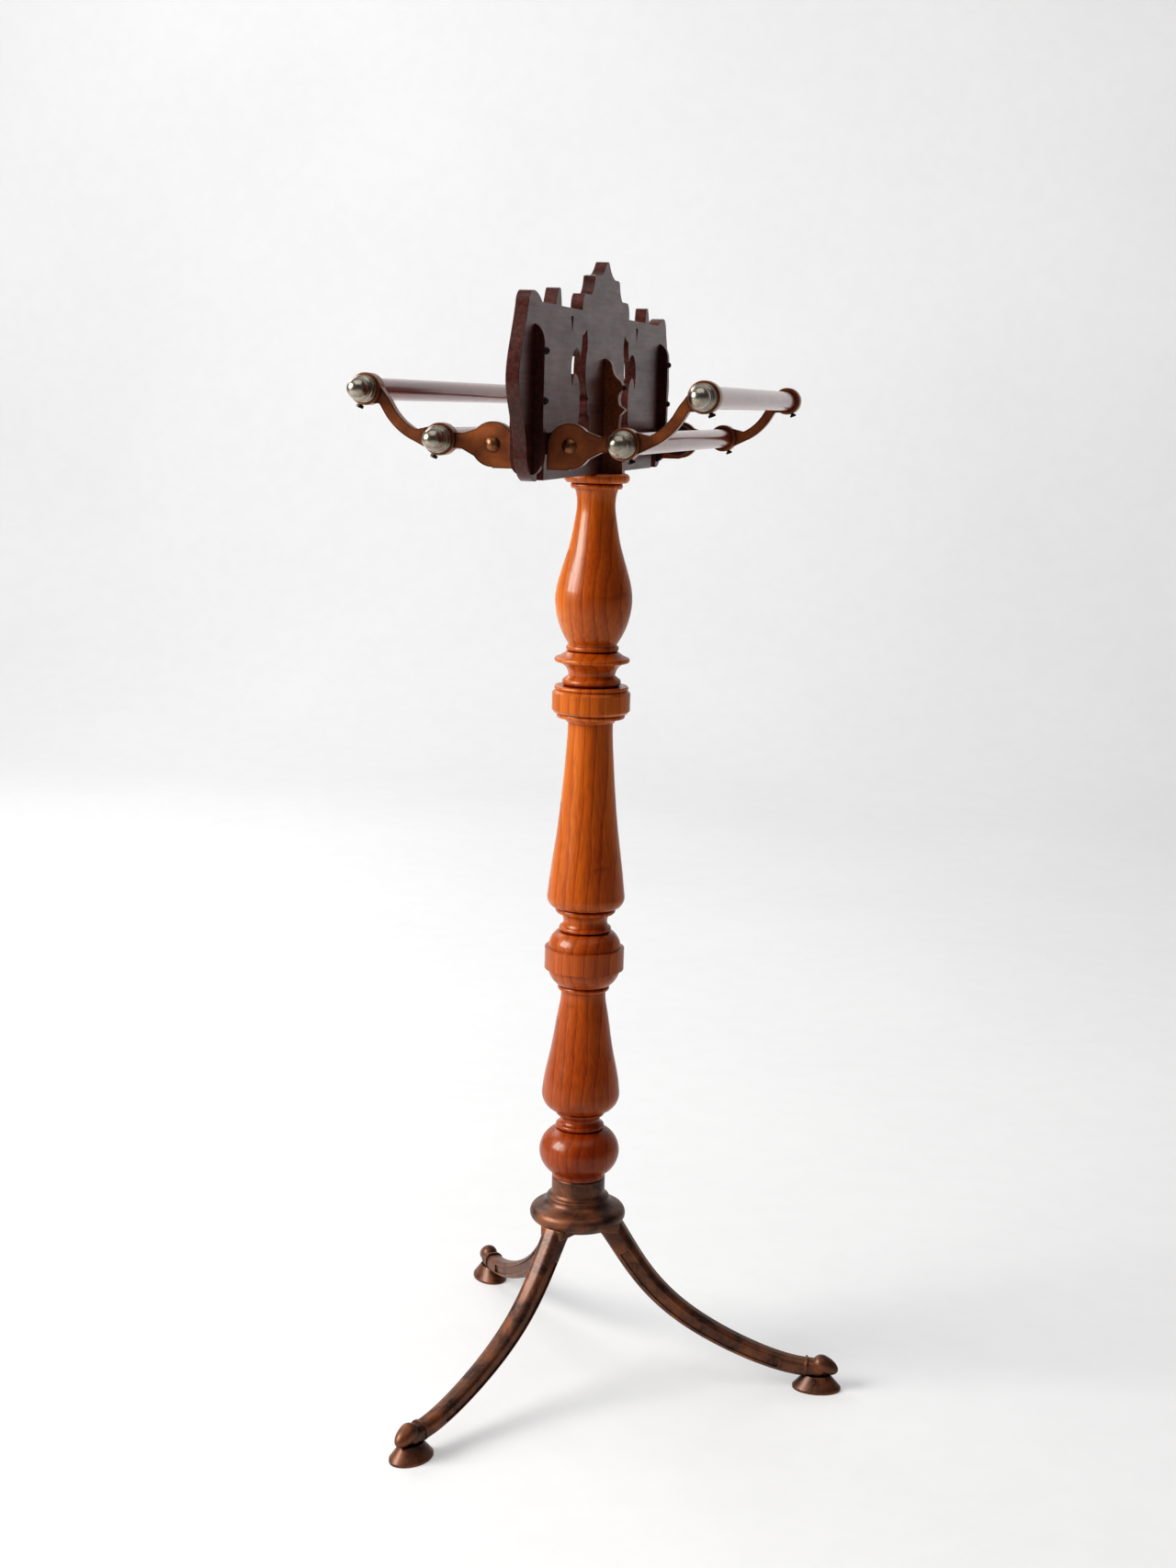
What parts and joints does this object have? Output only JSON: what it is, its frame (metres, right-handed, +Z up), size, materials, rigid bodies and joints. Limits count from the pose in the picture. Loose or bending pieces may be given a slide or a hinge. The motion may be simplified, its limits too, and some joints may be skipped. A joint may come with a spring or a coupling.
{
  "type": "folding sheet rack on tripod pillar",
  "caption": "Floor-standing rack: turned wooden pillar on a cast tripod, fretwork board on top and a hinged two-rod wing on each side forming V-shaped troughs.",
  "frame": {"origin": "pillar axis at floor level, under the middle of the tripod", "axes": "+Z up along the pillar, Y along the fretwork board and the rods, the wings open towards +X and -X"},
  "size_m": [0.3215, 0.474, 0.8154],
  "materials": {
    "turned_wood": "glossy varnish over orange-brown turned wood",
    "dark_wood": "dark polished mahogany",
    "bracket_wood": "polished brown wood",
    "rod_wood": "glossy red-brown varnish",
    "bronzed_iron": "dark brown lacquer worn to copper bronze",
    "bronzed_arm": "satin bronze lacquer",
    "nickel": "tarnished nickel plate",
    "dark_screw": "blackened steel",
    "bolt_steel": "plain steel",
    "bolt_bronze": "aged bronze"
  },
  "bodies": {
    "root": {"pillar": "turned_wood", "tripod_hub": "bronzed_iron", "pillar_bolt": "bolt_steel", "pillar_washer": "bolt_steel", "leg_right": "bronzed_iron", "leg_back": "bronzed_iron", "leg_front": "bronzed_iron", "leg_screws": "bolt_steel", "fret_board": "dark_wood", "pivot_board_back": "dark_wood", "pivot_board_front": "dark_wood", "end_strip_right_back": "dark_wood", "end_strip_right_front": "dark_wood", "end_strip_left_back": "dark_wood", "end_strip_left_front": "dark_wood", "centre_bracket_right": "bracket_wood", "centre_bracket_left": "bracket_wood", "strip_screws": "dark_screw", "bracket_screws": "dark_screw", "pivot_bolts": "bolt_bronze", "pivot_washers": "bolt_steel", "pivot_nuts": "bolt_steel"},
    "right_wing": {"right_arm_back": "bronzed_arm", "right_arm_front": "bronzed_arm", "right_inner_rod": "rod_wood", "right_inner_cap_back": "nickel", "right_inner_cap_front": "nickel", "right_outer_rod": "rod_wood", "right_outer_cap_back": "nickel", "right_outer_cap_front": "nickel", "right_set_screws": "dark_screw"},
    "left_wing": {"left_arm_back": "bronzed_arm", "left_arm_front": "bronzed_arm", "left_inner_rod": "rod_wood", "left_inner_cap_back": "nickel", "left_inner_cap_front": "nickel", "left_outer_rod": "rod_wood", "left_outer_cap_back": "nickel", "left_outer_cap_front": "nickel", "left_set_screws": "dark_screw"}
  },
  "joints": [
    {"name": "right_wing_fold", "type": "hinge", "parent": "root", "child": "right_wing", "pos_m": [0.0244, 0, 0.6928], "axis": [0, -1, 0], "range_deg": [0, 68]},
    {"name": "left_wing_fold", "type": "hinge", "parent": "root", "child": "left_wing", "pos_m": [-0.0244, 0, 0.6928], "axis": [0, 1, 0], "range_deg": [0, 68]}
  ]
}
